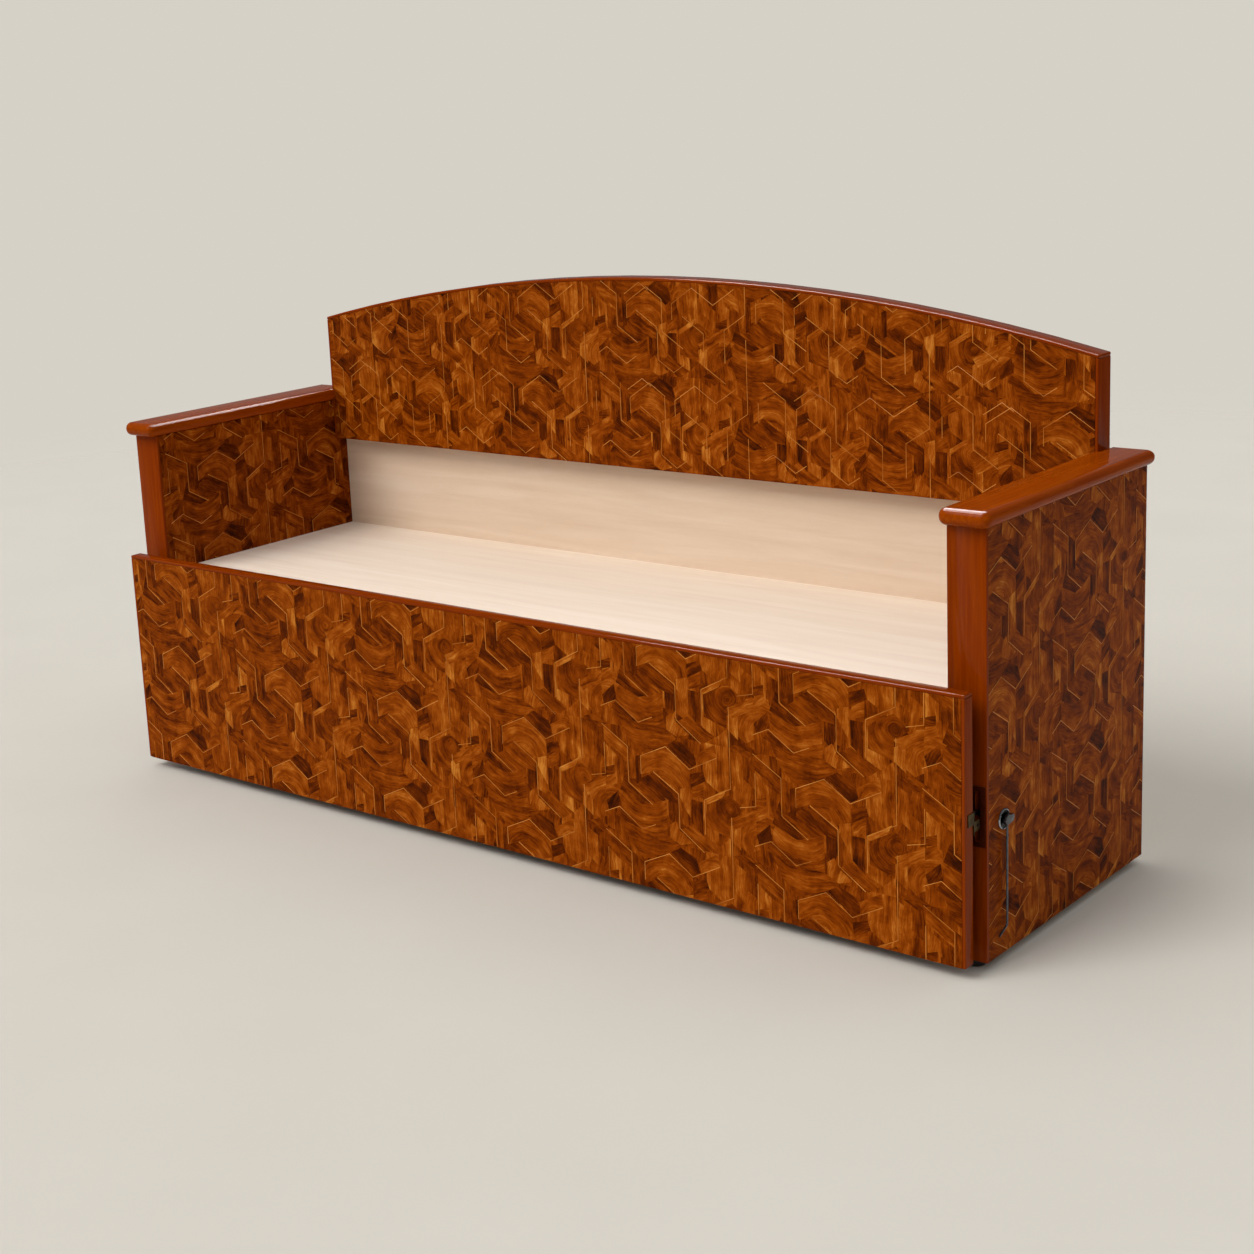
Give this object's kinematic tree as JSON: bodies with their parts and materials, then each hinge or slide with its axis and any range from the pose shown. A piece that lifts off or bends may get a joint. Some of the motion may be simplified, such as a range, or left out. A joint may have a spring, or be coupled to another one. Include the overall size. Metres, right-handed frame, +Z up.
{
  "type": "sofa bed",
  "caption": "Wooden sofa bed with box arms, arched veneered back, fixed ply seat, a bed base that pulls out at the front on casters, and a release lever.",
  "frame": {"origin": "floor point under the middle of the whole outline", "axes": "+X to the sitter's left along the sofa (the lever's arm is at +X), -Y to the front, +Z up"},
  "size_m": [1.986, 0.6, 0.997],
  "materials": {
    "solid_wood": "gloss lacquered reddish-brown hardwood",
    "marquetry_veneer": "gloss lacquered geometric marquetry veneer",
    "birch_ply": "satin pale birch plywood",
    "frame_wood": "planed softwood and ply frame",
    "glide_plastic": "moulded matt black",
    "wheel_plastic": "moulded grey nylon",
    "chrome": "polished chrome plate",
    "brass": "dull brass",
    "dark_steel": "dark burnished steel"
  },
  "bodies": {
    "carcass": {"arm_left_bottom_rail": "frame_wood", "arm_left_cap": "solid_wood", "arm_left_front_post": "solid_wood", "arm_left_inner_board": "marquetry_veneer", "arm_left_outer_board": "marquetry_veneer", "arm_left_rear_post": "frame_wood", "arm_left_top_rail": "frame_wood", "arm_right_bottom_rail": "frame_wood", "arm_right_cap": "solid_wood", "arm_right_front_post": "solid_wood", "arm_right_inner_board": "marquetry_veneer", "arm_right_outer_board": "marquetry_veneer", "arm_right_rear_post": "frame_wood", "arm_right_top_rail": "frame_wood", "back_left_lipping": "solid_wood", "back_panel": "marquetry_veneer", "back_right_lipping": "solid_wood", "back_top_lipping": "solid_wood", "glide_left_front": "glide_plastic", "glide_left_rear": "glide_plastic", "glide_right_front": "glide_plastic", "glide_right_rear": "glide_plastic", "latch_face_plate": "dark_steel", "lever_bush": "brass", "lever_rose": "chrome", "lower_back_board": "birch_ply", "rear_floor_rail": "frame_wood", "runner_left": "frame_wood", "runner_right": "frame_wood", "seat_board": "birch_ply", "seat_centre_bearer": "frame_wood", "seat_front_rail": "frame_wood", "seat_left_cleat": "frame_wood", "seat_rear_rail": "frame_wood", "seat_right_cleat": "frame_wood"},
    "pull_out_base": {"base_board": "birch_ply", "base_front_rail": "frame_wood", "base_left_side": "frame_wood", "base_middle_rail": "frame_wood", "base_rear_rail": "frame_wood", "base_right_side": "frame_wood", "caster_fork_left_front": "dark_steel", "caster_fork_left_rear": "dark_steel", "caster_fork_right_front": "dark_steel", "caster_fork_right_rear": "dark_steel", "front_left_lipping": "solid_wood", "front_panel": "marquetry_veneer", "front_right_lipping": "solid_wood", "front_top_lipping": "solid_wood", "striker_pin": "dark_steel", "striker_plate": "brass"},
    "release_lever": {"lever_hub": "chrome", "lever_rod": "dark_steel", "lever_spindle": "dark_steel", "latch_tongue": "dark_steel"},
    "wheel_left_front": {"caster_wheel_left_front": "wheel_plastic"},
    "wheel_left_rear": {"caster_wheel_left_rear": "wheel_plastic"},
    "wheel_right_front": {"caster_wheel_right_front": "wheel_plastic"},
    "wheel_right_rear": {"caster_wheel_right_rear": "wheel_plastic"}
  },
  "joints": [
    {"name": "base_slide", "type": "slide", "parent": "carcass", "child": "pull_out_base", "axis": [0, -1, 0], "range_m": [0, 0.43]},
    {"name": "lever_hinge", "type": "hinge", "parent": "carcass", "child": "release_lever", "pos_m": [0.98, -0.1984, 0.2363], "axis": [1, 0, 0], "range_deg": [-25, 8]},
    {"name": "wheel_left_front_axle", "type": "hinge", "parent": "pull_out_base", "child": "wheel_left_front", "pos_m": [-0.892, -0.225, 0.025], "axis": [1, 0, 0], "continuous": true},
    {"name": "wheel_left_rear_axle", "type": "hinge", "parent": "pull_out_base", "child": "wheel_left_rear", "pos_m": [-0.892, 0.195, 0.025], "axis": [1, 0, 0], "continuous": true},
    {"name": "wheel_right_front_axle", "type": "hinge", "parent": "pull_out_base", "child": "wheel_right_front", "pos_m": [0.892, -0.225, 0.025], "axis": [1, 0, 0], "continuous": true},
    {"name": "wheel_right_rear_axle", "type": "hinge", "parent": "pull_out_base", "child": "wheel_right_rear", "pos_m": [0.892, 0.195, 0.025], "axis": [1, 0, 0], "continuous": true}
  ]
}
